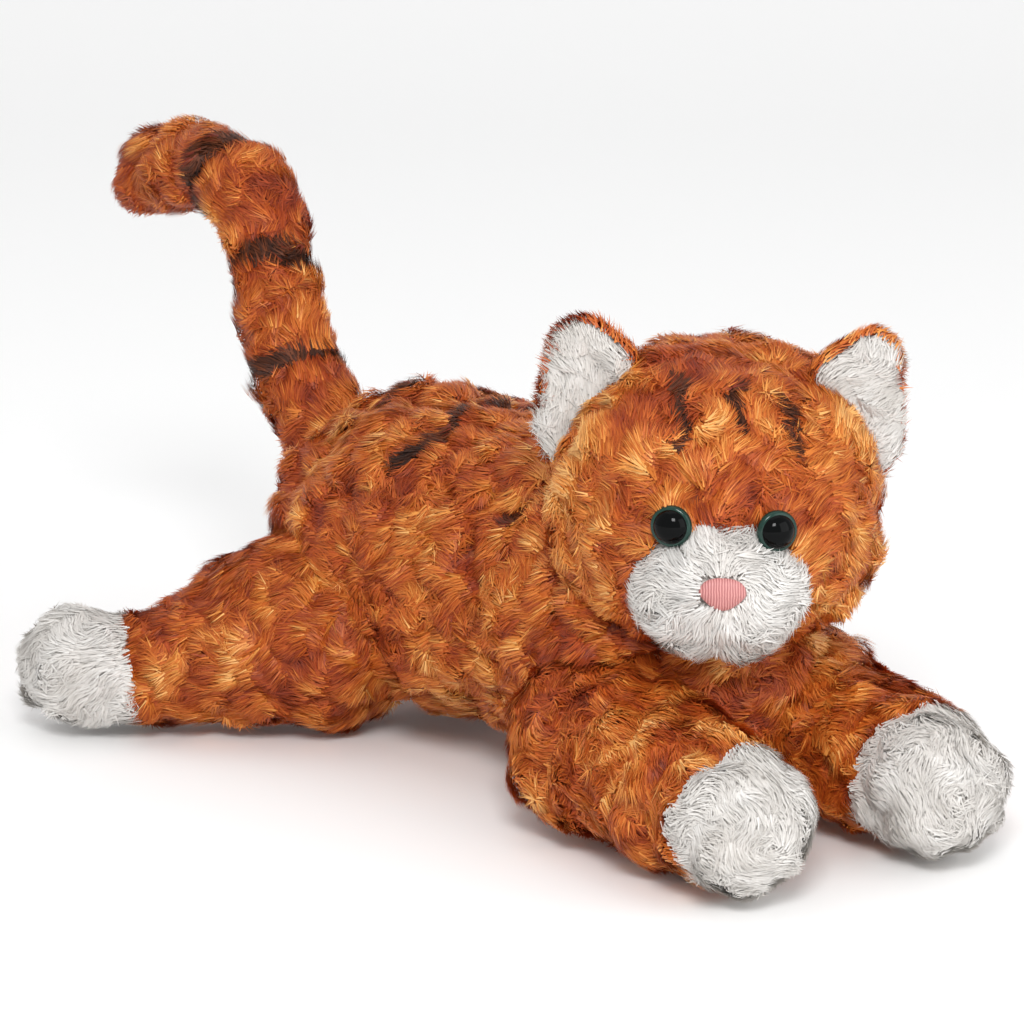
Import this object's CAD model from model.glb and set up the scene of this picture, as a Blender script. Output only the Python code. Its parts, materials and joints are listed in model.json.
"""A plush cat lying down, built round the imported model: soft skins, crushed pile, eyes, stitches."""
import json
import math

import bmesh
import bpy
import numpy as np
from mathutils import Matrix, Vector


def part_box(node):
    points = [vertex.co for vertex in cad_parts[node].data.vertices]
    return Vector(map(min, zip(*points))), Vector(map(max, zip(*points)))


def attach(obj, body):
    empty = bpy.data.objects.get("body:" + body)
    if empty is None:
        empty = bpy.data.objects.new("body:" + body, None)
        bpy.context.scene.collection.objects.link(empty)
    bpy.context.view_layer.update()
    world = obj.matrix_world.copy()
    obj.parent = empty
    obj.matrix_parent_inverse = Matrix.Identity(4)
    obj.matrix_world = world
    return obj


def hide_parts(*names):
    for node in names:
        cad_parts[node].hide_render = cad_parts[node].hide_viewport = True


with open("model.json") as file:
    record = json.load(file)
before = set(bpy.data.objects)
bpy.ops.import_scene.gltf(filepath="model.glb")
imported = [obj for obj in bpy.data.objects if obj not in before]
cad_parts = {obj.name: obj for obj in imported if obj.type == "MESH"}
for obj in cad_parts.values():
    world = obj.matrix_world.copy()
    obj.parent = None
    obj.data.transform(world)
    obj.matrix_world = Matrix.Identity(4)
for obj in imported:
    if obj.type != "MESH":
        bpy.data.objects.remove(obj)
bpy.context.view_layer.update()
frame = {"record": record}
joints = {j["name"]: j for j in frame["record"]["behaviour"]["joints"]}


# ------------------------------------------------------------------ table, light and camera
# The toy lies on a pale sweep of paper under one large soft light from the upper left, a wide weak fill
# and an even white surround.
def srgb(red, green, blue):
    """A colour given as it looks on a screen (0 to 255), as the linear values that shaders take."""
    c = np.array([red, green, blue]) / 255.0
    linear = np.where(c <= 0.04045, c / 12.92, ((c + 0.055) / 1.055) ** 2.4)
    return (*linear, 1.0)


def new_material(name, colour, roughness):
    """A material with one Principled shader; returns it with its shader."""
    mat = bpy.data.materials.new(name)
    mat.use_nodes = True
    shader = mat.node_tree.nodes["Principled BSDF"]
    shader.inputs["Base Color"].default_value = srgb(*colour)
    shader.inputs["Roughness"].default_value = roughness
    return mat, shader


def grid_mesh(name, points, close_u=False):
    """Quads over a grid of points (rows, columns, 3); close_u joins the last column to the first."""
    rows, columns, _ = points.shape
    index = np.arange(rows * columns).reshape(rows, columns)
    right = np.roll(index, -1, axis=1) if close_u else index[:, 1:]
    left = index if close_u else index[:, :-1]
    quads = np.stack([left[:-1], right[:-1], right[1:], left[1:]], axis=-1).reshape(-1, 4)
    mesh = bpy.data.meshes.new(name)
    mesh.from_pydata(points.reshape(-1, 3).tolist(), [], quads.tolist())
    mesh.update()
    return mesh


def add_object(name, mesh):
    """Puts a mesh in the scene as an object at the origin."""
    obj = bpy.data.objects.new(name, mesh)
    bpy.context.scene.collection.objects.link(obj)
    return obj


FACING = math.radians(-38)   # the camera stands in front and to the toy's right


def smoothed(obj):
    """Shades a mesh as one smooth surface."""
    for polygon in obj.data.polygons:
        polygon.use_smooth = True
    return obj


def make_floor():
    """A sheet of paper that lies flat and curves up far behind: height is zero, then a quarter circle."""
    along = np.linspace(-1.6, 3.2, 49)
    across = np.linspace(-3.0, 3.0, 13)
    start, radius = 1.2, 1.0
    angle = np.clip((along - start) / radius, 0, math.pi / 2)
    straight = np.maximum(along - start - radius * math.pi / 2, 0)
    y = np.minimum(along, start) + radius * np.sin(angle)
    z = radius * (1 - np.cos(angle)) + straight
    points = np.zeros((len(along), len(across), 3))
    points[..., 0] = across[None, :] * math.cos(FACING) - y[:, None] * math.sin(FACING)
    points[..., 1] = across[None, :] * math.sin(FACING) + y[:, None] * math.cos(FACING)
    points[..., 2] = z[:, None]
    sheet = smoothed(add_object("paper_sweep", grid_mesh("paper_sweep", points)))
    mat, _ = new_material("white_paper", (250, 250, 250), 0.9)
    sheet.data.materials.append(mat)


def soft_light(name, place, target, size, power):
    """A square area light that looks at a point."""
    data = bpy.data.lights.new(name, "AREA")
    data.size = size
    data.energy = power
    light = bpy.data.objects.new(name, data)
    light.location = place
    direction = np.array(target) - np.array(place)
    light.rotation_euler = look_along(direction)
    bpy.context.scene.collection.objects.link(light)


def look_along(direction):
    """The turn that points an object's -Z along a direction with its Y up."""
    return Vector(direction).to_track_quat("-Z", "Y").to_euler()


def make_camera():
    """A long lens a metre and a half away, level with the toy's side, looking slightly down."""
    elevation, distance = math.radians(14), 1.5
    target = np.array([0.0247, 0.1061, 0.062])
    back = np.array([math.sin(FACING) * math.cos(elevation), -math.cos(FACING) * math.cos(elevation),
                     math.sin(elevation)])
    data = bpy.data.cameras.new("camera")
    data.lens = 171.2
    data.sensor_width = 36.0
    data.clip_end = 20.0
    camera = bpy.data.objects.new("camera", data)
    camera.location = target + back * distance
    camera.rotation_euler = look_along(-back)
    bpy.context.scene.collection.objects.link(camera)
    bpy.context.scene.camera = camera


make_floor()
make_camera()
soft_light("key", (-1.0, -1.2, 1.3), (0, 0.05, 0.05), 0.55, 22)
soft_light("fill", (0.6, -1.8, 0.7), (0, 0.05, 0.05), 1.6, 11)
soft_light("top", (0.1, 0.5, 1.9), (0, 0.05, 0.05), 1.6, 4)
bpy.context.scene.view_settings.view_transform = "Standard"
world = bpy.data.worlds.new("white_room")
world.use_nodes = True
world.node_tree.nodes["Background"].inputs["Color"].default_value = (1, 1, 1, 1)
world.node_tree.nodes["Background"].inputs["Strength"].default_value = 0.70
bpy.context.scene.world = world


# ------------------------------------------------------------------ torso
# Two side panels meet along the back and a third closes the belly. Each is short crushed pile on a knit
# backing, sewn inside out, turned, and stuffed hard enough to round the seams over.
PILE = 0.0022           # how far the combed pile stands off its backing
BACKING = 0.0009        # thickness of the knit
STITCH_PULL = 0.0025    # half width of the strip that a seam holds down


def through(knots, values, at):
    """A smooth curve through values at knots (Catmull-Rom), read at the given places, for whole arrays."""
    knots = np.asarray(knots, float)
    values = np.asarray(values, float)
    if values.ndim == 1:
        values = values[:, None]
    slope = np.gradient(values, knots, axis=0)
    i = np.clip(np.searchsorted(knots, at, side="right") - 1, 0, len(knots) - 2)
    width = (knots[i + 1] - knots[i])[:, None]
    t = ((at - knots[i])[:, None]) / width
    low = values[i] * (2 * t**3 - 3 * t**2 + 1) + values[i + 1] * (3 * t**2 - 2 * t**3)
    return low + width * (slope[i] * (t**3 - 2 * t**2 + t) + slope[i + 1] * (t**3 - t**2))


def waves(points, wavelength, seed, count=18):
    """A smooth random field, about -1 to 1: the mean of sine waves with random headings; and its slope."""
    rng = np.random.default_rng(seed)
    heading = rng.normal(size=(count, 3))
    heading /= np.linalg.norm(heading, axis=1)[:, None]
    number = heading * (2 * math.pi / wavelength * rng.uniform(0.6, 1.5, count))[:, None]
    phase = points @ number.T + rng.uniform(0, 2 * math.pi, count)
    scale = math.sqrt(2.0 / count)
    return np.sin(phase).sum(axis=1) * scale, (np.cos(phase) @ number) * scale


TORSO_STATIONS = [  # place along the body, height of the middle, half height, half width
    (-0.045, 0.041, 0.000, 0.000), (-0.038, 0.042, 0.024, 0.024), (-0.022, 0.043, 0.038, 0.038),
    (0.000, 0.044, 0.045, 0.044), (0.024, 0.050, 0.043, 0.044), (0.052, 0.0555, 0.043, 0.045),
    (0.082, 0.0565, 0.0475, 0.050), (0.110, 0.0555, 0.050, 0.052), (0.134, 0.0555, 0.044, 0.046),
    (0.152, 0.0565, 0.029, 0.031), (0.162, 0.0565, 0.000, 0.000)]


def torso_size(y):
    """Height of the middle, half height and half width of the torso at each y."""
    table = np.array(TORSO_STATIONS)
    first, last = table[0, 0], table[-1, 0]
    as_angle = np.arccos(np.clip(1 - 2 * (table[:, 0] - first) / (last - first), -1, 1))
    here = np.arccos(np.clip(1 - 2 * (y - first) / (last - first), -1, 1))
    return through(as_angle, table[:, 1:], here)


def torso_points(inset):
    """Rings of an ellipse round a bent spine; ring spacing is even in angle, so both ends close round."""
    angle = np.linspace(0, math.pi, 61)
    first, last = TORSO_STATIONS[0][0], TORSO_STATIONS[-1][0]
    y = first + (last - first) * (1 - np.cos(angle)) / 2
    middle, high, wide = torso_size(y).T
    turn = np.linspace(0, 2 * math.pi, 72, endpoint=False)
    high = np.maximum(high - inset, 1e-5)
    wide = np.maximum(wide - inset, 1e-5)
    y = np.clip(y, first + inset, last - inset)
    points = np.zeros((61, 72, 3))
    points[..., 0] = wide[:, None] * np.cos(turn)
    points[..., 1] = y[:, None]
    points[..., 2] = middle[:, None] + high[:, None] * np.sin(turn)
    return points


def depth_in_torso(points):
    """How far inside the torso each point is: one minus its share of the ellipse there, times its size."""
    middle, high, wide = torso_size(points[:, 1]).T
    high = np.maximum(high, 1e-4)
    wide = np.maximum(wide, 1e-4)
    share = np.sqrt((points[:, 0] / wide) ** 2 + ((points[:, 2] - middle) / high) ** 2)
    ends = np.minimum(points[:, 1] - TORSO_STATIONS[0][0], TORSO_STATIONS[-1][0] - points[:, 1])
    return np.minimum((1 - share) * np.minimum(high, wide), ends)


def settle(points, clearance=0.0004):
    """Flattens what would sink into the table: height follows a soft maximum with the table's own height."""
    soft = 0.003
    z = points[..., 2] - clearance
    points[..., 2] = clearance + 0.5 * (z + np.sqrt(z * z + soft * soft))
    return points


def skin_mesh(name, points):
    """A closed mesh from rings, with its end rings welded to points and its faces outwards."""
    mesh = grid_mesh(name, points, close_u=True)
    bm = bmesh.new()
    bm.from_mesh(mesh)
    bmesh.ops.remove_doubles(bm, verts=bm.verts, dist=0.0002)
    bmesh.ops.recalc_face_normals(bm, faces=bm.faces)
    bm.to_mesh(mesh)
    bm.free()
    return mesh


def arrays(mesh):
    """A mesh's points, point normals, and its triangles as point numbers and face numbers."""
    count = len(mesh.vertices)
    points = np.empty(count * 3)
    normals = np.empty(count * 3)
    mesh.vertices.foreach_get("co", points)
    mesh.vertex_normals.foreach_get("vector", normals)
    mesh.calc_loop_triangles()
    corners = np.empty(len(mesh.loop_triangles) * 3, dtype=np.int32)
    faces = np.empty(len(mesh.loop_triangles), dtype=np.int32)
    mesh.loop_triangles.foreach_get("vertices", corners)
    mesh.loop_triangles.foreach_get("polygon_index", faces)
    return points.reshape(-1, 3), normals.reshape(-1, 3), corners.reshape(-1, 3), faces


def finished(obj):
    """The object's mesh with its modifiers worked in; the modifiers are removed."""
    graph = bpy.context.evaluated_depsgraph_get()
    mesh = bpy.data.meshes.new_from_object(obj.evaluated_get(graph))
    obj.modifiers.clear()
    old = obj.data
    obj.data = mesh
    bpy.data.meshes.remove(old)
    return obj


def stuffed(name, points, seam_distance, cap=0.004, pressure=4.0, voxel=0.0045):
    """Sews and stuffs a closed form: an even mesh, swelled as cloth under pressure while the seams hold."""
    obj = add_object(name, skin_mesh(name, points))
    remesh = obj.modifiers.new("even", "REMESH")
    remesh.mode = "VOXEL"
    remesh.voxel_size = voxel
    finished(obj)
    start = arrays(obj.data)[0]
    held = obj.vertex_groups.new(name="seams")
    near = np.nonzero(seam_distance(start) < STITCH_PULL)[0]
    held.add(near.tolist(), 0.85, "REPLACE")
    cloth = obj.modifiers.new("stuffing", "CLOTH")
    cloth.settings.quality = 4
    cloth.settings.mass = 0.15
    cloth.settings.tension_stiffness = 12
    cloth.settings.compression_stiffness = 12
    cloth.settings.bending_stiffness = 0.3
    cloth.settings.use_pressure = True
    cloth.settings.uniform_pressure_force = pressure
    cloth.settings.vertex_group_mass = "seams"
    cloth.settings.effector_weights.gravity = 0
    cloth.point_cache.frame_end = 20
    for step in range(1, 21):
        bpy.context.scene.frame_set(step)
    finished(obj)
    bpy.context.scene.frame_set(1)
    moved = arrays(obj.data)[0] - start
    length = np.linalg.norm(moved, axis=1)[:, None]
    moved *= np.minimum(1, cap / np.maximum(length, 1e-9))
    obj.data.vertices.foreach_set("co", (start + moved).ravel())
    obj.vertex_groups.clear()
    smooth = obj.modifiers.new("smooth", "SUBSURF")
    smooth.levels = smooth.render_levels = 1
    return smoothed(finished(obj))


def reshape(obj, points):
    """Moves the points of an object's mesh."""
    obj.data.vertices.foreach_set("co", np.ascontiguousarray(points).ravel())
    obj.data.update()


def rumple(obj, amount, seed):
    """Low lumps of stuffing: moves the skin along its normals by two smooth random fields."""
    points, normals, _, _ = arrays(obj.data)
    broad = waves(points, 0.040, seed)[0]
    small = waves(points, 0.014, seed + 1)[0]
    reshape(obj, points + normals * (amount * (0.7 * broad + 0.5 * small))[:, None])


def panel(source, name, chosen):
    """A copy of the faces of a stuffed form whose middles are chosen, given the thickness of its backing."""
    mesh = source.data.copy()
    mesh.name = name
    obj = add_object(name, mesh)
    count = len(mesh.polygons)
    centres = np.empty(count * 3)
    mesh.polygons.foreach_get("center", centres)
    keep = chosen(centres.reshape(-1, 3))
    bm = bmesh.new()
    bm.from_mesh(mesh)
    bm.faces.ensure_lookup_table()
    bmesh.ops.delete(bm, geom=[bm.faces[i] for i in np.nonzero(~keep)[0]], context="FACES")
    bm.to_mesh(mesh)
    bm.free()
    thick = obj.modifiers.new("backing", "SOLIDIFY")
    thick.thickness = BACKING
    thick.offset = -1
    return obj


def stuffing_core(source, name, body, node, depth=0.0022):
    """The filling: the stuffed form again, a little smaller all round."""
    mesh = source.data.copy()
    obj = add_object(name, mesh)
    points, normals, _, _ = arrays(mesh)
    reshape(obj, points - normals * depth)
    obj.data.materials.clear()
    obj.data.materials.append(fibre_fill)
    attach(obj, body)
    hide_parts(node)
    return obj


def added(nodes, kind, **values):
    """A new shader node with values set on its inputs by name."""
    node = nodes.new("ShaderNode" + kind)
    for socket, value in values.items():
        node.inputs[socket.replace("_", " ")].default_value = value
    return node


def coloured_by(mat, shader, pattern, dark, light):
    """Drives the shader's colour from dark to light by a pattern's output."""
    tint = mat.node_tree.nodes.new("ShaderNodeValToRGB")
    tint.color_ramp.elements[0].color = srgb(*dark)
    tint.color_ramp.elements[1].color = srgb(*light)
    mat.node_tree.links.new(pattern, tint.inputs["Fac"])
    mat.node_tree.links.new(tint.outputs["Color"], shader.inputs["Base Color"])


def make_fibre_fill():
    """Loose white polyester: pale with soft darker clumps."""
    mat, shader = new_material("polyester_filling", (238, 238, 236), 0.95)
    nodes, links = mat.node_tree.nodes, mat.node_tree.links
    place = added(nodes, "TexCoord")
    clumps = added(nodes, "TexNoise", Scale=220, Detail=5)
    links.new(place.outputs["Object"], clumps.inputs["Vector"])
    coloured_by(mat, shader, clumps.outputs["Fac"], (214, 214, 210), (246, 246, 244))
    return mat


def crushed_knit_group():
    """Node group: mottled tone and a bump of short leaning pile, from Object coordinates."""
    group = bpy.data.node_groups.new("crushed_pile", "ShaderNodeTree")
    face = group.interface
    for name in ("Dark", "Middle", "Light"):
        face.new_socket(name, in_out="INPUT", socket_type="NodeSocketColor")
    face.new_socket("Swirl Scale", in_out="INPUT", socket_type="NodeSocketFloat")
    face.new_socket("Color", in_out="OUTPUT", socket_type="NodeSocketColor")
    face.new_socket("Height", in_out="OUTPUT", socket_type="NodeSocketFloat")
    nodes, links = group.nodes, group.links
    inputs = nodes.new("NodeGroupInput")
    outputs = nodes.new("NodeGroupOutput")
    place = added(nodes, "TexCoord")
    swirl = added(nodes, "TexNoise", Detail=3, Distortion=1.2)
    strands = added(nodes, "TexNoise", Scale=900, Detail=2)
    links.new(place.outputs["Object"], swirl.inputs["Vector"])
    links.new(inputs.outputs["Swirl Scale"], swirl.inputs["Scale"])
    links.new(place.outputs["Object"], strands.inputs["Vector"])
    low = added(nodes, "MapRange", From_Min=0.36, From_Max=0.56)
    high = added(nodes, "MapRange", From_Min=0.52, From_Max=0.72)
    links.new(swirl.outputs["Fac"], low.inputs["Value"])
    links.new(strands.outputs["Fac"], high.inputs["Value"])
    first, second = added(nodes, "Mix"), added(nodes, "Mix")
    first.data_type = second.data_type = "RGBA"
    links.new(low.outputs["Result"], first.inputs["Factor"])
    links.new(inputs.outputs["Dark"], first.inputs["A"])
    links.new(inputs.outputs["Middle"], first.inputs["B"])
    links.new(high.outputs["Result"], second.inputs["Factor"])
    links.new(first.outputs["Result"], second.inputs["A"])
    links.new(inputs.outputs["Light"], second.inputs["B"])
    links.new(second.outputs["Result"], outputs.inputs["Color"])
    links.new(strands.outputs["Fac"], outputs.inputs["Height"])
    return group


def knit_material(name, dark, middle, light, roughness=0.8):
    """The backing seen between the tufts: mottled, matt, finely bumped."""
    mat, shader = new_material(name, middle, roughness)
    nodes, links = mat.node_tree.nodes, mat.node_tree.links
    pattern = nodes.new("ShaderNodeGroup")
    pattern.node_tree = crushed_pile
    for socket, colour in (("Dark", dark), ("Middle", middle), ("Light", light)):
        pattern.inputs[socket].default_value = srgb(*colour)
    pattern.inputs["Swirl Scale"].default_value = 70
    bump = added(nodes, "Bump", Strength=0.5, Distance=0.0006)
    links.new(pattern.outputs["Color"], shader.inputs["Base Color"])
    links.new(pattern.outputs["Height"], bump.inputs["Height"])
    links.new(bump.outputs["Normal"], shader.inputs["Normal"])
    return mat


def sewn_in(skin, coat, backing, body, node):
    """Finishes a panel: its backing, the body that it rides on, and the plain solid that it stands for."""
    skin.data.materials.append(backing)
    for piece in (skin, coat):
        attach(piece, body)
    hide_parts(node)


def shade_ramp(name, shades, roughness, gloss):
    """One plain material for each shade of dyed pile, dark to light."""
    ramp = []
    for i, colour in enumerate(shades):
        mat, shader = new_material("%s_%d" % (name, i), colour, roughness)
        shader.inputs["Specular IOR Level"].default_value = gloss
        ramp.append(mat)
    return ramp


def scattered(mesh, per_square_mm, seed):
    """Places spread evenly over a mesh by area, with the skin's normal at each."""
    points, normals, corners, _ = arrays(mesh)
    a, b, c = points[corners[:, 0]], points[corners[:, 1]], points[corners[:, 2]]
    area = 0.5 * np.linalg.norm(np.cross(b - a, c - a), axis=1)
    total = np.cumsum(area)
    count = int(total[-1] * 1e6 * per_square_mm)
    rng = np.random.default_rng(seed)
    pick = np.searchsorted(total, (np.arange(count) + rng.random(count)) / count * total[-1])
    pick = np.minimum(pick, len(area) - 1)
    u, v = rng.random(count), rng.random(count)
    over = u + v > 1
    u[over], v[over] = 1 - u[over], 1 - v[over]
    share = np.stack([1 - u - v, u, v], axis=1)[:, :, None]
    place = (points[corners[pick]] * share).sum(axis=1)
    normal = (normals[corners[pick]] * share).sum(axis=1)
    normal /= np.linalg.norm(normal, axis=1)[:, None]
    return place, normal, rng


def flat_on(vectors, normals):
    """The part of each vector that lies in the skin."""
    return vectors - normals * (vectors * normals).sum(axis=1)[:, None]


def unit(vectors):
    """Each vector at length one."""
    return vectors / np.maximum(np.linalg.norm(vectors, axis=1), 1e-9)[:, None]


def crushed(points, seed=12):
    """Relief of crushed pile: low patches, small locks, and narrow ridges where two patches meet. The
    height is a sum of smooth random fields and of a bell curve of one of them; returns height and slope."""
    patch, patch_slope = waves(points, 0.0145, seed)
    lock, lock_slope = waves(points, 0.0066, seed + 1)
    fold, fold_slope = waves(points, 0.0175, seed + 2)
    ridge = np.exp(-(fold / 0.30) ** 2)
    ridge_slope = (-2 * fold / 0.30**2 * ridge)[:, None] * fold_slope
    height = 0.34 * patch + 0.24 * lock + 0.62 * ridge
    return height, 0.34 * patch_slope + 0.24 * lock_slope + 0.62 * ridge_slope


def pile(name, skin, nap, tone, ramp, length=0.0048, width=0.0005, per_square_mm=6.0, seed=1, keep=None,
         stand=0.0016, swirl=1.0, relief=0.0017, rise=0.12):
    """Combed pile: one thin triangle a tuft, lying along the nap, turned by a random field that swirls
    round its peaks. Tufts lie nearly flat in many layers, and the upper ones are lighter. The normals are
    those of the relief and not of each triangle, so that light plays on locks, not on hairs."""
    place, normal, rng = scattered(skin.data, per_square_mm, seed)
    if keep is not None:
        chosen = keep(place)
        place, normal = place[chosen], normal[chosen]
    count = len(place)
    broad_slope = waves(place, 0.034, 11)[1] * 0.004
    patch_slope = waves(place, 0.013, 10)[1] * 0.0016
    height, slope = crushed(place)
    heading = flat_on(nap(place), normal)
    heading += swirl * np.cross(normal, broad_slope + patch_slope)
    heading += -0.0007 * flat_on(slope, normal) + 0.16 * rng.normal(size=(count, 3))
    heading = unit(flat_on(heading, normal))
    depth = rng.random(count)
    reach = length * rng.uniform(0.7, 1.2, count)
    level_up = stand * depth + relief * height
    root = place + normal * level_up[:, None]
    tip = root + heading * reach[:, None] + normal * (rise * (reach + 0.0016))[:, None]
    sideways = unit(np.cross(heading, normal) + 0.12 * rng.normal(size=(count, 3)))
    half = (width / 2 * rng.uniform(0.7, 1.3, count))[:, None]
    corners = np.stack([root - sideways * half, root + sideways * half, tip], axis=1)
    shade = tone(place, height) + 0.16 * (depth - 0.5) + 0.05 * rng.normal(size=count)
    level = np.clip(np.floor(shade * len(ramp)), 0, len(ramp) - 1).astype(np.int32)
    mesh = bpy.data.meshes.new(name)
    mesh.vertices.add(count * 3)
    mesh.vertices.foreach_set("co", settle(corners.reshape(-1, 3), 0.0001).ravel())
    mesh.loops.add(count * 3)
    mesh.loops.foreach_set("vertex_index", np.arange(count * 3, dtype=np.int32))
    mesh.polygons.add(count)
    mesh.polygons.foreach_set("loop_start", np.arange(0, count * 3, 3, dtype=np.int32))
    mesh.polygons.foreach_set("material_index", level)
    mesh.update(calc_edges=True)
    facing = unit(normal - 0.8 * relief * flat_on(slope, normal) + 0.1 * heading + [0, 0, 0.3])
    mesh.normals_split_custom_set_from_vertices(np.repeat(facing, 3, axis=0))
    obj = add_object(name, mesh)
    for mat in ramp:
        mesh.materials.append(mat)
    return obj


GINGER = [(118, 36, 9), (141, 48, 12), (160, 61, 15), (177, 76, 20), (194, 95, 29), (210, 118, 45),
          (226, 147, 68), (240, 179, 104)]
BROWN = [(40, 18, 8), (58, 27, 12), (78, 37, 16), (104, 50, 20)]

crushed_pile = crushed_knit_group()
fibre_fill = make_fibre_fill()
ginger_knit = knit_material("ginger_backing", (96, 34, 17), (140, 58, 27), (176, 92, 46))
ginger_pile = shade_ramp("ginger_pile", GINGER, 0.5, 0.35)
tabby_pile = shade_ramp("stripe_pile", BROWN, 0.55, 0.3) + ginger_pile


def ginger_tone(bias=0.0):
    """Crushed ginger: light along ridges and lock crests, dark in the hollows between."""
    def tone(place, height):
        broad = waves(place, 0.036, 21)[0]
        small = waves(place, 0.009, 22)[0]
        shade = 0.40 + bias + 0.07 * broad + 0.05 * small + 0.22 * height
        return (4 + 8 * np.clip(shade, 0.0, 0.999)) / 12
    return tone


def striped(tone, mask):
    """The same tone with a brown stripe where the mask nears one."""
    def mixed(place, height):
        plain = tone(place, height)
        dark = mask(place) + 0.16 * height
        return np.where(dark > 0.5, np.clip((1.4 + 1.6 * height) / 12, 0.0, 0.32), plain)
    return mixed


def bar(points, start, end, half_width):
    """One for points beside the line from start to end, falling to zero at its half width and its ends."""
    start, end = np.array(start), np.array(end)
    line = end - start
    share = np.clip((points - start) @ line / (line @ line), 0, 1)
    away = np.linalg.norm(points - start - share[:, None] * line, axis=1)
    return np.clip(1.5 - away / half_width, 0, 1)


TORSO_BARS = [  # start and end of each bar on the unrolled skin, and its half width
    ((0.001, 0.0900), (0.018, 0.0810), 0.0017), ((0.018, 0.0810), (0.030, 0.0795), 0.0019),
    ((0.030, 0.0795), (0.040, 0.0830), 0.0018), ((0.020, 0.0320), (0.039, 0.0360), 0.0026),
    ((0.002, 0.1180), (0.022, 0.1160), 0.0015)]


def torso_stripes(points):
    """Bars over the back and behind the neck, the same on both sides, drawn on the skin unrolled: the
    angle round the body times its usual radius, and the distance along it."""
    usual_radius = 0.047
    around = np.arctan2(np.abs(points[:, 0]), points[:, 2] - torso_size(points[:, 1])[:, 0])
    flat = np.stack([usual_radius * around, points[:, 1]], axis=1)
    dark = np.zeros(len(points))
    for start, end, half_width in TORSO_BARS:
        dark = np.maximum(dark, bar(flat, start, end, half_width))
    return dark


def balls_between(a, a_radius, b, b_radius):
    """A test form: distance from a rounded cone, negative inside."""
    a, b = np.array(a), np.array(b)
    line = b - a

    def distance(points):
        share = np.clip((points - a) @ line / (line @ line), 0, 1)
        return (np.linalg.norm(points - a - share[:, None] * line, axis=1)
                - (a_radius + (b_radius - a_radius) * share))
    return distance


def box_of(*nodes):
    """Lowest and highest corner of several CAD nodes together."""
    corners = [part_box(node) for node in nodes]
    low = np.min([np.array(c[0]) for c in corners], axis=0)
    high = np.max([np.array(c[1]) for c in corners], axis=0)
    return low, high


HEAD = np.array(joints["head_turn"]["pos_m"])
low, high = box_of("head_filling")
HEAD_R = float((high - low).max() / 2) + 0.0033     # out to the pile over the filling
LEGS = {}
for side, sign in (("left", 1), ("right", -1)):
    for kind, root_r, paw_r in (("front", 0.027, 0.0215), ("hind", 0.033, 0.0202)):
        root = np.array(joints["%s_leg_swing_%s" % (kind, side)]["pos_m"])
        low, high = box_of("%s_paw_%s" % (kind, side))
        outer = high[0] - paw_r if sign > 0 else low[0] + paw_r
        end, height = (low[1] + paw_r, 0.0218) if kind == "front" else (high[1] - paw_r, 0.0208)
        LEGS[kind, side] = (root, root_r, np.array([outer, end, height]), paw_r)
TAIL_ROOT = np.array(joints["tail_wag"]["pos_m"])
TAIL_ROOT_R = 0.017


def ball(centre, radius):
    """A test form: distance from a ball, negative inside."""
    return lambda points: np.linalg.norm(points - centre, axis=1) - radius


def hollowed(obj, forms, gap=0.0006, steps=14):
    """Room for the sewn-in roots: points inside a form walk inwards along their normals until clear."""
    points, normals, _, _ = arrays(obj.data)
    for _ in range(steps):
        nearest = np.min([form(points) for form in forms], axis=0) - gap
        points = points - normals * np.clip(-nearest, 0, 0.006)[:, None]
    reshape(obj, points)


BELLY_HALF, BELLY_TOP = 0.022, 0.05     # half width of the belly panel, and the height it lies under


def in_belly(points):
    """The part of the skin that the belly panel covers."""
    return (np.abs(points[:, 0]) < BELLY_HALF) & (points[:, 2] < BELLY_TOP)


def torso_seams(points):
    """Distance from the nearest torso seam: the back seam and the two edges of the belly panel."""
    back = np.where(points[:, 2] > BELLY_TOP, np.abs(points[:, 0]), 1.0)
    sides = np.where(points[:, 2] < BELLY_TOP, np.abs(np.abs(points[:, 0]) - BELLY_HALF), 1.0)
    return np.minimum(back, sides)


def torso_nap(points):
    """The pile lies back and down."""
    return np.stack([0.25 * np.sign(points[:, 0]), np.full(len(points), 0.9),
                     np.full(len(points), -0.5)], axis=1)


def outside_neighbours(forms, depth):
    """Keeps tufts that are not buried deeper than depth in a neighbour."""
    def keep(points):
        nearest = np.min([form(points) for form in forms], axis=0)
        return nearest > -depth
    return keep


torso = stuffed("torso_form", settle(torso_points(PILE + 0.001)), torso_seams)
rumple(torso, 0.0018, 3)
roots = [ball(root, root_r) for root, root_r, _, _ in LEGS.values()]
roots += [ball(HEAD, HEAD_R), ball(TAIL_ROOT, TAIL_ROOT_R)]
hollowed(stuffing_core(torso, "torso_filling_core", "torso", "torso_filling"), roots)
neighbours = [balls_between(*leg) for leg in LEGS.values()]
neighbours += [balls_between(HEAD, HEAD_R, HEAD + [0, 0, 1e-4], HEAD_R),
               balls_between(TAIL_ROOT, TAIL_ROOT_R, TAIL_ROOT + [0, 0.012, 0.009], TAIL_ROOT_R)]
torso_keep = outside_neighbours(neighbours, 0.004)
TORSO_PANELS = {
    "torso_panel_left": lambda c: (c[:, 0] > 0) & ~in_belly(c),
    "torso_panel_right": lambda c: (c[:, 0] <= 0) & ~in_belly(c),
    "torso_belly_panel": in_belly}
for number, (node, chosen) in enumerate(TORSO_PANELS.items()):
    skin = panel(torso, node.replace("torso_", "torso_skin_"),
                 lambda c: chosen(c) & (np.min([root(c) for root in roots], axis=0) > -0.0020))
    coat = pile(node.replace("torso_", "torso_pile_"), skin, torso_nap,
                striped(ginger_tone(0.0), torso_stripes), tabby_pile, seed=40 + number, keep=torso_keep)
    sewn_in(skin, coat, ginger_knit, "torso", node)
bpy.data.objects.remove(torso)


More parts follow.
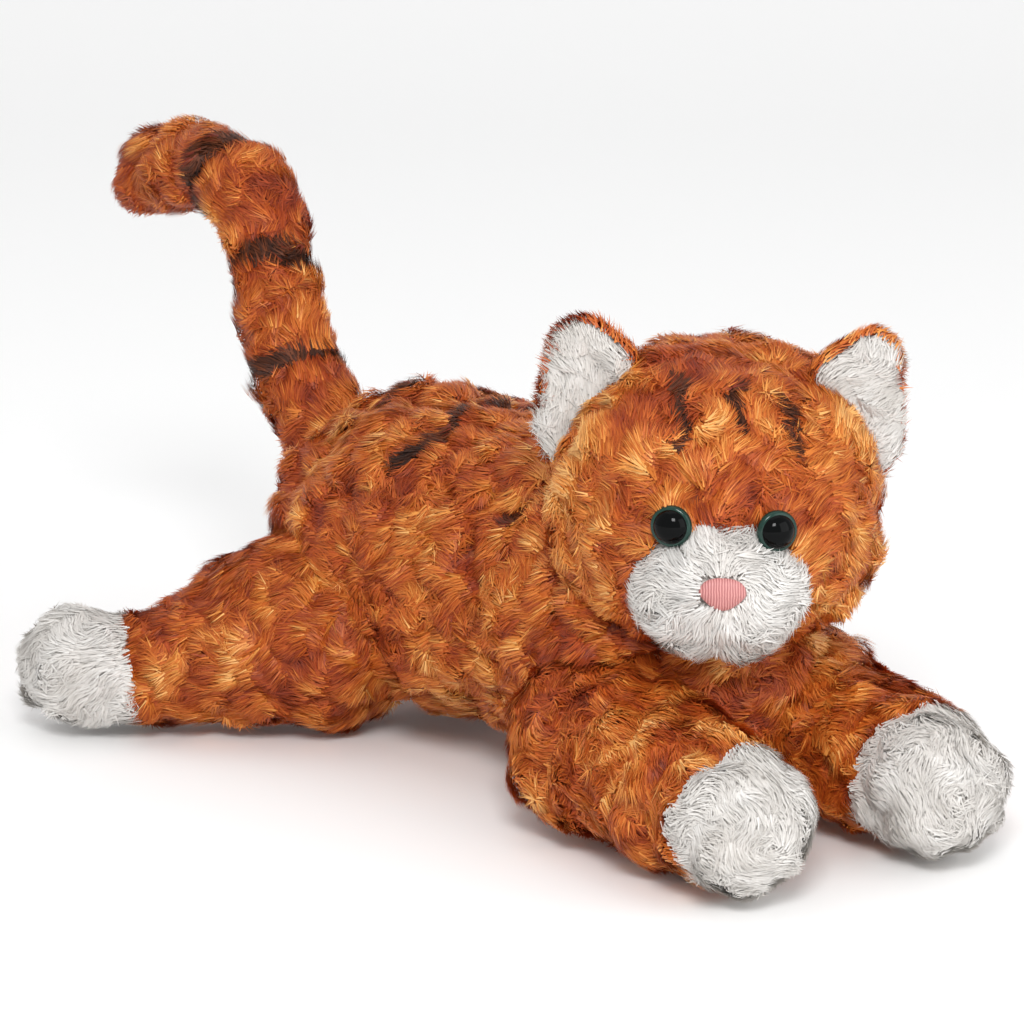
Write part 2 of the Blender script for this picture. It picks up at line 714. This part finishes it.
# ------------------------------------------------------------------ legs
# Each leg is a sleeve of two panels with a white paw sewn to its end. The front legs point forwards,
# the hind legs are splayed, and every leg's root is a round end sewn into the side of the body.
WHITE = [(196, 190, 183), (205, 200, 193), (213, 208, 202), (220, 216, 211), (227, 224, 220)]
white_knit = knit_material("white_backing", (212, 206, 200), (222, 217, 212), (230, 226, 222))
white_pile = shade_ramp("white_pile", WHITE, 0.6, 0.3)


def white_tone(bias=0.0):
    """White pile: nearly even, greyer deep between locks."""
    def tone(place, height):
        return 0.64 + bias + 0.06 * waves(place, 0.02, 31)[0] + 0.10 * height
    return tone


def limb_frame(root, paw):
    """Directions along, across (level) and above a limb."""
    along = (paw - root) / np.linalg.norm(paw - root)
    across = np.cross(along, [0, 0, 1.0])
    across /= np.linalg.norm(across)
    return along, across, np.cross(across, along)


def limb_points(root, root_r, paw, paw_r, waist, inset):
    """Rings along a limb: a quarter circle, a smooth curve through the waist, and a quarter circle. Rings
    that hang above the table drop most of the way to it, as stuffing sags."""
    along, across, above = limb_frame(root, paw)
    reach = np.linalg.norm(paw - root)
    lean = math.asin((root_r - paw_r) / reach)
    back = np.linspace(0, math.pi / 2 + lean, 16)
    front = np.linspace(math.pi / 2 - lean, 0, 14) if waist is None else np.linspace(math.pi / 2, 0, 14)
    start, stop = root_r * math.sin(lean), reach + paw_r * math.cos(front[0])
    inner = np.linspace(start, stop, 20)[1:-1]
    knots = [start, stop] if waist is None else [start, waist[0] * reach, stop]
    radii = [root_r * math.cos(lean), paw_r * math.sin(front[0])]
    if waist is not None:
        radii.insert(1, waist[1])
    sleeve = through(knots, radii, inner)[:, 0]
    place = np.concatenate([-root_r * np.cos(back), inner, reach + paw_r * np.cos(front)])
    radius = np.concatenate([root_r * np.sin(back), sleeve, paw_r * np.sin(front)])
    radius = np.maximum(radius - inset * (radius > inset), 1e-5)
    place = np.clip(place, -root_r + inset, reach + paw_r - inset)
    turn = np.linspace(0, 2 * math.pi, 48, endpoint=False)
    spine = root + along * place[:, None]
    spare = np.maximum(spine[:, 2] - radius - inset, 0) * (place > 0) * (place < reach)
    spine[:, 2] -= 0.95 * spare
    return (spine[:, None, :] + radius[:, None, None]
            * (across * np.cos(turn)[:, None] + above * np.sin(turn)[:, None])[None])


def limb_share(points, root, paw):
    """How far along a limb each point is, in metres from its root."""
    return (points - root) @ limb_frame(root, paw)[0]


def make_leg(kind, side, waist, paw_length, bias, seed):
    """One leg: stuffed form, outer and inner panels, paw, their pile, and the filling."""
    root, root_r, paw, paw_r = LEGS[kind, side]
    body = "%s_leg_%s" % (kind, side)
    along, across, _ = limb_frame(root, paw)
    seam = np.linalg.norm(paw - root) + paw_r - paw_length
    outward = across * np.sign(across[0] * root[0] or 1)

    def seams(points):
        sleeve = np.where(limb_share(points, root, paw) < seam, np.abs((points - root) @ across), 1.0)
        return np.minimum(sleeve, np.abs(limb_share(points, root, paw) - seam))

    form = stuffed(body + "_form", settle(limb_points(root, root_r, paw, paw_r, waist, PILE + 0.0006)),
                   seams, cap=0.003, voxel=0.0035)
    rumple(form, 0.0014, seed)
    reshape(form, settle(arrays(form.data)[0], 0.0008))
    stuffing_core(form, body + "_filling_core", body, body + "_filling")

    def keep(points):
        return depth_in_torso(points) < 0.010

    def nap(points):
        return along + np.array([0, 0, -0.25]) + 0 * points

    parts = {
        "outer_panel": lambda c: (limb_share(c, root, paw) < seam) & ((c - root) @ outward >= 0),
        "inner_panel": lambda c: (limb_share(c, root, paw) < seam) & ((c - root) @ outward < 0)}
    for number, (part, chosen) in enumerate(parts.items()):
        skin = panel(form, "%s_%s_skin" % (body, part), chosen)
        coat = pile("%s_%s_pile" % (body, part), skin, nap, ginger_tone(bias), tabby_pile,
                    seed=seed * 7 + number, keep=keep)
        sewn_in(skin, coat, ginger_knit, body, "%s_%s" % (body, part))
    paw_name = "%s_paw_%s" % (kind, side)
    skin = panel(form, paw_name + "_skin", lambda c: limb_share(c, root, paw) >= seam)
    coat = pile(paw_name + "_pile", skin, nap, white_tone(), white_pile, length=0.0046, width=0.0005,
                per_square_mm=8.0, seed=seed * 7 + 3, stand=0.0026, swirl=1.0, relief=0.0008, rise=0.09)
    sewn_in(skin, coat, white_knit, body, paw_name)
    bpy.data.objects.remove(form)


for number, side in enumerate(("left", "right")):
    make_leg("front", side, None, 0.0305 if side == "left" else 0.0245, 0.02, 60 + number)
    make_leg("hind", side, (0.76, 0.0189), 0.0352, -0.02, 70 + number)


# ------------------------------------------------------------------ tail
# Two long panels sewn into a tube, stuffed so that it stands up and curls back at the tip.
TAIL_ROUTE = [(0.146, 0.064), (0.156, 0.070), (0.171, 0.0805), (0.1845, 0.095), (0.1925, 0.113),
              (0.1972, 0.131), (0.2075, 0.147), (0.225, 0.1540), (0.245, 0.1535), (0.2640, 0.1490)]
TAIL_RADII = [0.0150, 0.0160, 0.0158, 0.0150, 0.0146, 0.0146, 0.0147, 0.0146, 0.0147, 0.0145]
tail_knots = np.concatenate([[0], np.cumsum(np.linalg.norm(np.diff(np.array(TAIL_ROUTE), axis=0), axis=1))])


def tail_spine(at):
    """Points of the tail's middle line, its direction and its radius at distances along it."""
    both = through(tail_knots, np.column_stack([TAIL_ROUTE, TAIL_RADII]), at)
    ahead = through(tail_knots, TAIL_ROUTE, np.minimum(at + 0.0004, tail_knots[-1]))
    behind = through(tail_knots, TAIL_ROUTE, np.maximum(at - 0.0004, 0))
    along = np.zeros((len(at), 3))
    along[:, 1:] = ahead - behind
    return np.column_stack([np.zeros(len(at)), both[:, :2]]), unit(along), both[:, 2]


def tail_points(inset):
    """Rings square to the middle line, with a rounded start and tip."""
    length = tail_knots[-1]
    middle, along, radius = tail_spine(np.linspace(0, length, 70))
    cap = np.linspace(0, math.pi / 2, 12)[:-1]
    tip = middle[-1] + along[-1] * ((radius[-1] - inset) * np.sin(np.append(cap, math.pi / 2)[1:]))[:, None]
    start = middle[0] - along[0] * ((radius[0] - inset) * np.cos(cap))[:, None]
    tip_radius = (radius[-1] - inset) * np.cos(np.append(cap, math.pi / 2)[1:])
    spine = np.concatenate([start, middle, tip])
    direction = np.concatenate([np.repeat(along[:1], len(start), 0), along,
                                np.repeat(along[-1:], len(tip), 0)])
    size = np.concatenate([(radius[0] - inset) * np.sin(cap), radius - inset, tip_radius])
    size = np.maximum(size, 1e-5)
    turn = np.linspace(0, 2 * math.pi, 40, endpoint=False)
    side = np.array([1.0, 0, 0])
    above = np.cross(direction, side)
    return (spine[:, None, :] + size[:, None, None]
            * (side * np.cos(turn)[:, None] + above[:, None, :] * np.sin(turn)[:, None]))


def along_tail(points):
    """The distance along the tail of the spine point nearest to each point, and that place's direction."""
    at = np.linspace(0, tail_knots[-1], 160)
    middle, direction, _ = tail_spine(at)
    nearest = np.argmin(((points[:, None, 1:] - middle[None, :, 1:]) ** 2).sum(axis=2), axis=1)
    return at[nearest], direction[nearest]


def tail_stripes(points):
    """Three bands: a cosine ripple shifts each, and they thin out towards the back of the tail."""
    at = along_tail(points)[0]
    swing = 0.003 * np.sin(points[:, 0] / 0.008)
    dark = np.zeros(len(points))
    for place, half_width in ((0.050, 0.0030), (0.0855, 0.0030), (0.120, 0.0034)):
        dark = np.maximum(dark, np.clip(1.45 - np.abs(at + swing - place) / half_width, 0, 1))
    return dark


tail = stuffed("tail_form", tail_points(PILE + 0.0004), lambda p: np.abs(p[:, 0]), cap=0.0025, voxel=0.003)
rumple(tail, 0.0010, 81)
stuffing_core(tail, "tail_filling_core", "tail", "tail_filling", 0.0018)
for number, (side, sign) in enumerate((("left", 1), ("right", -1))):
    skin = panel(tail, "tail_skin_" + side, lambda c: c[:, 0] * sign >= 0)
    coat = pile("tail_pile_" + side, skin, lambda p: along_tail(p)[1] + [0, 0, -0.1],
                striped(ginger_tone(-0.09), tail_stripes), tabby_pile, seed=90 + number,
                keep=lambda p: depth_in_torso(p) < 0.008)
    sewn_in(skin, coat, ginger_knit, "tail", "tail_panel_" + side)
bpy.data.objects.remove(tail)


# ------------------------------------------------------------------ head
# A ball of three panels: two sides and the gusset between them, which runs from the muzzle over the top
# to the back. It is turned to the cat's right and a little to one side.
def centre_of(node):
    """The middle of a CAD node's box."""
    low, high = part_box(node)
    return (np.array(low) + np.array(high)) / 2


left_eye, right_eye = centre_of("eye_pupil_left"), centre_of("eye_pupil_right")
SIDEWAYS = (left_eye - right_eye) / np.linalg.norm(left_eye - right_eye)
EYE_HEIGHT = 0.0015
ahead = (left_eye + right_eye) / 2 - HEAD
UPWARDS = -np.cross(SIDEWAYS, ahead) / np.linalg.norm(np.cross(SIDEWAYS, ahead))
ahead = ahead - UPWARDS * EYE_HEIGHT
FORWARDS = ahead / np.linalg.norm(ahead)
UPWARDS = -np.cross(SIDEWAYS, FORWARDS)
FACE = np.stack([SIDEWAYS, -FORWARDS, UPWARDS])


def to_face(points):
    """Points in the head's own axes: X to the cat's left, -Y out of the face, Z up the face."""
    return (points - HEAD) @ FACE.T


def from_face(points):
    """Points in the head's own axes, put in place."""
    return HEAD + points @ FACE


def ball_directions(rings, spokes):
    """A grid of unit directions, pole to pole along Z."""
    down = np.linspace(0, math.pi, rings)
    round_ = np.linspace(0, 2 * math.pi, spokes, endpoint=False)
    return np.stack([np.sin(down)[:, None] * np.cos(round_), np.sin(down)[:, None] * np.sin(round_),
                     np.cos(down)[:, None] + 0 * round_], axis=-1)


def head_radius(direction):
    """Distance from the head's middle to its pile: a squarish ball with wide cheeks and a flat crown."""
    x, y, z = direction[..., 0], direction[..., 1], direction[..., 2]
    power = 2.25
    ball = (np.abs(x) ** power + np.abs(y / 0.99) ** power + np.abs(z / 0.955) ** power) ** (-1 / power)
    cheek = 0.035 * np.exp(-((z + 0.30) / 0.35) ** 2) * np.abs(x) ** 2
    brow = 0.012 * np.exp(-((z - 0.28) / 0.25) ** 2) * (y < 0) * np.abs(y)
    return HEAD_R * (0.968 * ball + cheek + brow)


def head_points(inset):
    """The head's form: each direction of a ball at its own distance."""
    directions = ball_directions(54, 84)
    return from_face((head_radius(directions) - inset)[..., None] * directions)


GUSSET_HALF, CHIN = 0.016, -0.019      # half width of the gusset, and its lower end on the face


def in_gusset(points):
    """The part of the head that the gusset covers."""
    p = to_face(points)
    return (np.abs(p[:, 0]) < GUSSET_HALF) & (p[:, 2] > CHIN)


def head_seams(points):
    """Distance from the edges of the gusset, or from the chin seam below it."""
    p = to_face(points)
    return np.where(p[:, 2] > CHIN, np.abs(np.abs(p[:, 0]) - GUSSET_HALF), np.abs(p[:, 0]))


def head_nap(points):
    """The pile lies outwards from the nose."""
    nose = np.array([0, -0.050, -0.012])
    return unit(to_face(points) - nose) @ FACE + [0, 0, -0.15]


def head_stripes(points):
    """Three short upright bars on the forehead."""
    p = to_face(points)
    dark = np.zeros(len(p))
    for side, low, high in ((-0.0112, 0.0215, 0.0345), (0.0036, 0.0255, 0.0345), (0.0178, 0.022, 0.0315)):
        outside = np.maximum(np.maximum(low - p[:, 2], p[:, 2] - high), 0)
        away = np.sqrt((p[:, 0] - side + 0.2 * (p[:, 2] - low)) ** 2 + outside**2)
        dark = np.maximum(dark, np.clip(1.45 - away / 0.0019, 0, 1) * (p[:, 1] < 0))
    return dark


def head_tone(place, height):
    """Ginger, more golden on the cheeks and sides, redder on the brow between the eyes."""
    p = to_face(place)
    cheek = 0.15 * np.clip(np.abs(p[:, 0]) / 0.03 - 0.5, 0, 1)
    brow = -0.10 * np.exp(-(p[:, 0] / 0.018) ** 2 - ((p[:, 2] - 0.008) / 0.009) ** 2)
    plain = ginger_tone(0.0)(place, height)
    return plain + (cheek + brow) * 8 / 12


head = stuffed("head_form", head_points(PILE + 0.0008), head_seams, cap=0.0025, voxel=0.004)
rumple(head, 0.0011, 101)
stuffing_core(head, "head_filling_core", "head", "head_filling")
HEAD_PANELS = {
    "head_gusset": in_gusset,
    "head_side_left": lambda c: (to_face(c)[:, 0] > 0) & ~in_gusset(c),
    "head_side_right": lambda c: (to_face(c)[:, 0] <= 0) & ~in_gusset(c)}


def muzzle_edge(p):
    """Below zero inside the muzzle's outline on the face: a rounded triangle, narrow between the eyes."""
    height = (p[:, 2] + 0.0172) / 0.0200
    half = 0.0245 * (1 - 0.3 * np.clip(height, 0, 1) ** 2)
    return np.sqrt((p[:, 0] / half) ** 2 + height**2) - 1


def from_eyes(points):
    """Distance from the nearer eye."""
    return np.minimum(ball(left_eye, 0)(points), ball(right_eye, 0)(points))


def head_keep(points):
    """No tufts under the muzzle, under the eyes or deep in the neck."""
    p = to_face(points)
    under_muzzle = (muzzle_edge(p) < -0.06) & (p[:, 1] < 0)
    return ~under_muzzle & (from_eyes(points) > 0.0061) & (depth_in_torso(points) < 0.010)


for number, (node, chosen) in enumerate(HEAD_PANELS.items()):
    skin = panel(head, node + "_skin", chosen)
    coat = pile(node + "_pile", skin, head_nap, striped(head_tone, head_stripes), tabby_pile,
                length=0.0046, seed=110 + number, keep=head_keep)
    sewn_in(skin, coat, ginger_knit, "head", node)
bpy.data.objects.remove(head)


# ------------------------------------------------------------------ muzzle
# Two white pads sewn to each other down the middle and to the face all round; the pile is longer and
# stands out, so the outline is a ragged edge. The pads part below the nose.
NOSE_AT = -0.0148        # height of the nose on the face
MUZZLE = np.array([0, -0.0395, -0.0172])


def muzzle_points(inset):
    """An upright ellipsoid, narrowed between the eyes and parted by a groove below the nose."""
    d = ball_directions(40, 60)
    half = np.array([0.0236, 0.0150, 0.0198]) - inset
    p = d * half
    height = np.clip(p[..., 2] / 0.020, 0, 1)
    p[..., 0] *= 1 - 0.30 * height**2
    p[..., 1] *= 1 - 0.28 * height
    groove = np.exp(-(p[..., 0] / 0.0032) ** 2) * np.clip(-p[..., 2] / 0.018, 0, 1)
    p[..., 1] += 0.0028 * groove
    p[..., 2] += 0.0035 * groove
    return from_face(MUZZLE + p)


def muzzle_nap(points):
    """The pile points away from the nose."""
    p = to_face(points) - [0, -0.056, NOSE_AT]
    p[:, 1] *= 0.2
    return unit(p) @ FACE


def muzzle_tone(place, height):
    """White, with a grey-beige shade towards the chin and between the pads."""
    p = to_face(place)
    under = np.clip((-0.026 - p[:, 2]) / 0.012, 0, 1)
    part = np.exp(-(p[:, 0] / 0.003) ** 2) * (p[:, 2] < -0.022)
    return white_tone(0.06)(place, height) - 0.16 * under - 0.22 * part


def muzzle_keep(points):
    """Tufts only in front of the face, none under the nose or over the eyes."""
    p = to_face(points)
    front = p[:, 1] < -0.020
    nose = (np.abs(p[:, 0]) < 0.0046) & (np.abs(p[:, 2] - NOSE_AT) < 0.0030)
    return front & ~nose & (from_eyes(points) > 0.0062)


muzzle = stuffed("muzzle_form", muzzle_points(0.0020), lambda p: np.abs(to_face(p)[:, 0]), cap=0.0015,
                 voxel=0.0022, pressure=3.0)
for number, (side, sign) in enumerate((("left", 1), ("right", -1))):
    skin = panel(muzzle, "muzzle_skin_" + side, lambda c: to_face(c)[:, 0] * sign >= 0)
    coat = pile("muzzle_pile_" + side, skin, muzzle_nap, muzzle_tone, white_pile, length=0.0046,
                per_square_mm=8.0, seed=130 + number, keep=muzzle_keep, stand=0.0032, swirl=0.9,
                relief=0.0013, rise=0.12)
    sewn_in(skin, coat, white_knit, "head", "muzzle_" + side)
bpy.data.objects.remove(muzzle)


# ------------------------------------------------------------------ eyes
# Safety eyes: a dark green flange with a black dome over it, a ribbed stem through the fabric, and a
# toothed washer pressed on behind.
def turned_piece(name, profile, origin, direction, spokes=48):
    """A profile of (radius, height) pairs spun about a direction through the origin."""
    profile = np.array(profile)
    turn = np.linspace(0, 2 * math.pi, spokes, endpoint=False)
    direction = direction / np.linalg.norm(direction)
    across = np.cross(direction, UPWARDS)
    across /= np.linalg.norm(across)
    above = np.cross(direction, across)
    ring = across * np.cos(turn)[:, None] + above * np.sin(turn)[:, None]
    points = origin + profile[:, 1, None, None] * direction + profile[:, 0, None, None] * ring[None]
    return smoothed(add_object(name, skin_mesh(name, points)))


def gloss_material(name, colour, roughness, fleck, gloss=0.4):
    """Moulded plastic, polished, with a faint cloudiness in its colour."""
    mat, shader = new_material(name, colour, roughness)
    shader.inputs["Specular IOR Level"].default_value = gloss
    nodes, links = mat.node_tree.nodes, mat.node_tree.links
    place = added(nodes, "TexCoord")
    cloud = added(nodes, "TexNoise", Scale=400)
    links.new(place.outputs["Object"], cloud.inputs["Vector"])
    coloured_by(mat, shader, cloud.outputs["Fac"], colour, fleck)
    return mat


iris_plastic = gloss_material("green_plastic", (12, 40, 33), 0.15, (22, 60, 50))
pupil_plastic = gloss_material("black_plastic", (2, 3, 3), 0.06, (4, 5, 6), 0.12)
washer_plastic = gloss_material("washer_plastic", (205, 205, 200), 0.5, (218, 218, 214))
for side, eye in (("left", left_eye), ("right", right_eye)):
    outward = eye - HEAD
    outward /= np.linalg.norm(outward)
    seat = HEAD + outward * (HEAD_R - 0.0014)
    bend = np.linspace(0, math.pi / 2, 9)
    flange = [(1e-5, -0.0118), (0.0019, -0.0118), (0.0019, 0.0)]
    flange += [(0.0059 - 0.0009 + 0.0009 * math.cos(a), 0.0008 + 0.0011 * math.sin(a)) for a in -bend[::-1]]
    flange += [(0.0049 + 0.0010 * math.cos(a), 0.0008 + 0.0014 * math.sin(a)) for a in bend]
    flange += [(1e-5, 0.0022)]
    iris = turned_piece("eye_iris_" + side + "_dome", flange, seat, outward)
    dome = [(0.0050 * math.cos(a), 0.0012 + 0.0036 * math.sin(a)) for a in bend]
    dome = [(1e-5, 0.0009), (0.0048, 0.0009)] + dome[:-1] + [(1e-5, dome[-1][1])]
    pupil = turned_piece("eye_pupil_" + side + "_dome", dome, seat, outward)
    teeth = [(0.0020, -0.0066), (0.0030, -0.0062), (0.0064, -0.0066), (0.0070, -0.0070), (0.0070, -0.0076),
             (0.0030, -0.0072), (0.0020, -0.0076), (0.0020, -0.0066)]
    washer = turned_piece("eye_washer_" + side + "_disc", teeth, seat, outward)
    for piece, mat, slot, node in ((iris, iris_plastic, "eye_iris", "eye_iris_"),
                                   (pupil, pupil_plastic, "eye_pupil", "eye_pupil_"),
                                   (washer, washer_plastic, "washer_plastic", "eye_washer_")):
        piece.data.materials.append(mat)
        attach(piece, "head")
        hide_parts(node + side)


# ------------------------------------------------------------------ nose and mouth
# The nose is a rounded triangle of satin stitch in pink thread; one short stitch runs down from it.
def thread_material(name, colour, light, per_metre, turn=0.0):
    """Thread laid side by side: a fine wave across the threads drives colour and bump."""
    mat, shader = new_material(name, colour, 0.42)
    nodes, links = mat.node_tree.nodes, mat.node_tree.links
    place = added(nodes, "TexCoord")
    lay = added(nodes, "Mapping", Rotation=(0, 0, turn))
    strands = added(nodes, "TexWave", Scale=per_metre, Distortion=1.5, Detail=1)
    bump = added(nodes, "Bump", Strength=0.6, Distance=0.0002)
    links.new(place.outputs["Object"], lay.inputs["Vector"])
    links.new(lay.outputs["Vector"], strands.inputs["Vector"])
    coloured_by(mat, shader, strands.outputs["Fac"], colour, light)
    links.new(strands.outputs["Fac"], bump.inputs["Height"])
    links.new(bump.outputs["Normal"], shader.inputs["Normal"])
    return mat


def nose_points():
    """A pillow over a rounded triangle: the outline shrinks to a point as the height follows a cosine."""
    turn = np.linspace(0, 2 * math.pi, 60, endpoint=False)
    wide, high = 0.0066, 0.0046
    across = wide * np.sign(np.cos(turn)) * np.abs(np.cos(turn)) ** 0.8
    rise = high * np.sin(turn)
    across = across * (1 - 0.42 * np.clip(-np.sin(turn), 0, 1) ** 1.2)
    share = np.concatenate([np.sin(np.linspace(0, math.pi / 2, 10)), np.sin(np.linspace(math.pi / 2, 0, 6))])
    lift = np.concatenate([0.0019 * np.cos(np.linspace(0, math.pi / 2, 10)) ** 0.8,
                           -0.0012 * np.cos(np.linspace(math.pi / 2, 0, 6))])
    share = np.maximum(share, 1e-4)
    p = np.zeros((len(share), len(turn), 3))
    p[..., 0] = share[:, None] * across
    p[..., 2] = NOSE_AT + share[:, None] * rise
    curve = 0.5 * p[..., 0] ** 2 / 0.018
    p[..., 1] = -0.0556 - lift[:, None] + curve + 0.12 * np.abs(p[..., 2] - NOSE_AT)
    return from_face(p)


pink_thread = thread_material("pink_thread", (170, 98, 98), (216, 152, 148), 420, math.radians(36))
nose = smoothed(add_object("nose_pad", skin_mesh("nose_pad", nose_points())))
nose.data.materials.append(pink_thread)
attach(nose, "head")
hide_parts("nose")


def tube_points(route, radius, spokes=10):
    """A round thread along a route of points, closed at both ends."""
    route = np.asarray(route, float)
    along = unit(np.gradient(route, axis=0))
    helper = np.where(np.abs(along[:, 2:3]) < 0.9, [[0.0, 0, 1]], [[1.0, 0, 0]])
    across = unit(np.cross(along, helper))
    above = np.cross(across, along)
    turn = np.linspace(0, 2 * math.pi, spokes, endpoint=False)
    size = np.full(len(route), radius)
    size[[0, -1]] = 1e-5
    return (route[:, None, :] + size[:, None, None]
            * (across[:, None, :] * np.cos(turn)[:, None] + above[:, None, :] * np.sin(turn)[:, None]))


fall = np.linspace(0, 1, 14)
mouth_route = from_face(np.stack([0.0003 * np.sin(3 * fall), -0.0535 + 0.0036 * fall**1.5,
                                  NOSE_AT - 0.0040 - 0.0085 * fall], axis=1))
mouth = add_object("mouth_thread", skin_mesh("mouth_thread", tube_points(mouth_route, 0.00045)))
mouth.data.materials.append(pink_thread)
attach(mouth, "head")
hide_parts("mouth_stitch")


# ------------------------------------------------------------------ ears
# Each ear is a white front and a ginger back sewn edge to edge and turned, almost flat, then sewn into
# the seam of the head; the white front is slightly cupped and ginger shows all round its edge.
EAR_OUTLINE = [(-0.0225, -0.002), (-0.0185, 0.0050), (-0.0100, 0.0112), (0.0020, 0.0172), (0.0110, 0.0200),
               (0.0168, 0.0175), (0.0180, 0.0085), (0.0150, -0.002), (0.0050, -0.0045), (-0.0130, -0.0055)]


def ear_axes(side, sign):
    """Middle of the ear's root, and directions up the root, out of the head and to the ear's back."""
    joint = joints["ear_fold_" + side]
    middle = np.array(joint["pos_m"])
    up = np.array(joint["axis"]) * sign
    outward = middle - HEAD
    outward = outward - up * (outward @ up)
    outward /= np.linalg.norm(outward)
    middle = middle + 0.0035 * up - 0.0032 * outward
    back = np.cross(up, outward)
    if back[1] < 0:
        back = -back
    return middle, up, outward, back


def ear_points(side, sign, front):
    """Half a flat cushion: rings of the outline shrink towards its middle as the surface lifts as a quarter
    ellipse; the front is cupped by a shallow bowl."""
    middle, up, outward, back = ear_axes(side, sign)
    closed = np.array(EAR_OUTLINE + EAR_OUTLINE[:1])
    knots = np.concatenate([[0], np.cumsum(np.linalg.norm(np.diff(closed, axis=0), axis=1))])
    outline = through(knots, closed, np.linspace(0, knots[-1], 73)[:-1])
    centre = np.array([0.001, 0.009])
    if front:
        outline = centre + 0.93 * (outline - centre) - [0.0012, 0]
    bend = np.linspace(0, math.pi / 2, 14)
    share = np.maximum(np.cos(bend), 1e-4)
    lift = 0.0034 * np.sin(bend) ** 0.7
    flat = centre + share[:, None, None] * (outline - centre)
    away = np.linalg.norm(flat - centre, axis=2)
    bowl = -0.0030 * np.clip(1 - (away / 0.015) ** 2, 0, 1)
    height = -(lift[:, None] + bowl) if front else lift[:, None] + 0 * away
    curl = 9.0 * (flat[..., 0] - 0.002) ** 2
    height = height - 0.35 * curl
    return (middle + up * flat[..., 0:1] + outward * flat[..., 1:2] + back * height[..., None])


def ear_piece(name, side, sign, front):
    """One half of an ear, closed behind by the sewn-in edge."""
    points = ear_points(side, sign, front)
    rear = points[:1] * 0.98 + points[:1].mean(axis=1, keepdims=True) * 0.02
    mesh = skin_mesh(name, np.concatenate([rear, points]))
    return add_object(name, mesh)


def ear_keep(points):
    """No tufts inside the head."""
    return np.linalg.norm(points - HEAD, axis=1) > HEAD_R - 0.006


for number, (side, sign) in enumerate((("left", 1), ("right", -1))):
    body = "ear_" + side
    _, up, outward, _ = ear_axes(side, sign)
    for front in (True, False):
        word = "front" if front else "back"
        skin = smoothed(ear_piece("ear_%s_%s_skin" % (word, side), side, sign, front))
        coat = pile("ear_%s_%s_pile" % (word, side), skin, lambda p: outward * 0.9 + up * 0.3 + 0 * p,
                    white_tone(-0.12) if front else ginger_tone(0.06), white_pile if front else tabby_pile,
                    length=0.0042, per_square_mm=7.0, seed=150 + 2 * number + front, keep=ear_keep,
                    stand=0.0016, swirl=0.6, relief=0.0009, rise=0.06)
        sewn_in(skin, coat, white_knit if front else ginger_knit, body,
                "ear_%s_%s" % (word, side))


# ------------------------------------------------------------------ seam threads
# Heavy twisted thread: one ring sews the head on, one sews the tail on, and a row of ladder stitches
# closes the opening in the belly seam through which the body was filled.
def twisted_ring(name, centre, axis, radius, twists):
    """Two strands that wind round a circle, half a turn apart."""
    axis = axis / np.linalg.norm(axis)
    across = unit(np.cross(axis, [1.0, 0, 0])[None])[0]
    above = np.cross(axis, across)
    turn = np.linspace(0, 2 * math.pi, 40 * 8, endpoint=False)
    radial = across * np.cos(turn)[:, None] + above * np.sin(turn)[:, None]
    strands = []
    for half in (0, math.pi):
        wind = turn * twists + half
        route = centre + radial * (radius + 0.00035 * np.cos(wind))[:, None]
        route = route + axis * (0.00035 * np.sin(wind))[:, None]
        around = np.linspace(0, 2 * math.pi, 8, endpoint=False)
        strands.append(route[:, None, :] + 0.00042 * (radial[:, None, :] * np.cos(around)[:, None]
                                                     + axis * np.sin(around)[:, None]))
    bm = bmesh.new()
    for strand in strands:
        rows = np.concatenate([strand, strand[:1]])
        mesh = grid_mesh(name, rows, close_u=True)
        bm.from_mesh(mesh)
        bpy.data.meshes.remove(mesh)
    bmesh.ops.remove_doubles(bm, verts=bm.verts, dist=0.00001)
    bmesh.ops.recalc_face_normals(bm, faces=bm.faces)
    mesh = bpy.data.meshes.new(name)
    bm.to_mesh(mesh)
    bm.free()
    return add_object(name, mesh)


brown_thread = thread_material("ginger_thread", (124, 58, 26), (176, 98, 52), 700)
neck_axis = np.array(joints["head_turn"]["axis"])
low, high = box_of("neck_seam_thread")
neck_radius = (high[0] - low[0]) / 2 - 0.0008
neck_ring = twisted_ring("neck_thread_ring", (low + high) / 2, neck_axis, neck_radius, 60)
low, high = box_of("tail_seam_thread")
tail_ring = twisted_ring("tail_thread_ring", (low + high) / 2, np.array(joints["tail_wag"]["axis"]),
                         (high[0] - low[0]) / 2 - 0.0008, 36)
for ring, body, node in ((neck_ring, "neck", "neck_seam_thread"),
                         (tail_ring, "tail_base", "tail_seam_thread")):
    ring.data.materials.append(brown_thread)
    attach(ring, body)
    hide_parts(node)


def ladder_stitches():
    """Nine short threads across the belly seam, each bowed over the skin."""
    bm = bmesh.new()
    bow = np.linspace(-1, 1, 9)
    for i in range(9):
        y = 0.040 + 0.004 * i
        middle, high, wide = torso_size(np.array([y]))[0]
        x = BELLY_HALF + 0.0026 * bow
        inset = PILE + 0.0004
        z = middle - (high - inset) * np.sqrt(1 - (x / (wide - inset)) ** 2) - 0.0006 * (1 - bow**2)
        route = np.stack([x, y + 0.0006 * bow, z + 0.0006], axis=1)
        mesh = skin_mesh("stitch", tube_points(route, 0.0004, 8))
        bm.from_mesh(mesh)
        bpy.data.meshes.remove(mesh)
    mesh = bpy.data.meshes.new("closing_stitches")
    bm.to_mesh(mesh)
    bm.free()
    return add_object("closing_stitches", mesh)


stitches = ladder_stitches()
stitches.data.materials.append(brown_thread)
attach(stitches, "torso")
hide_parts("torso_closing_stitches")
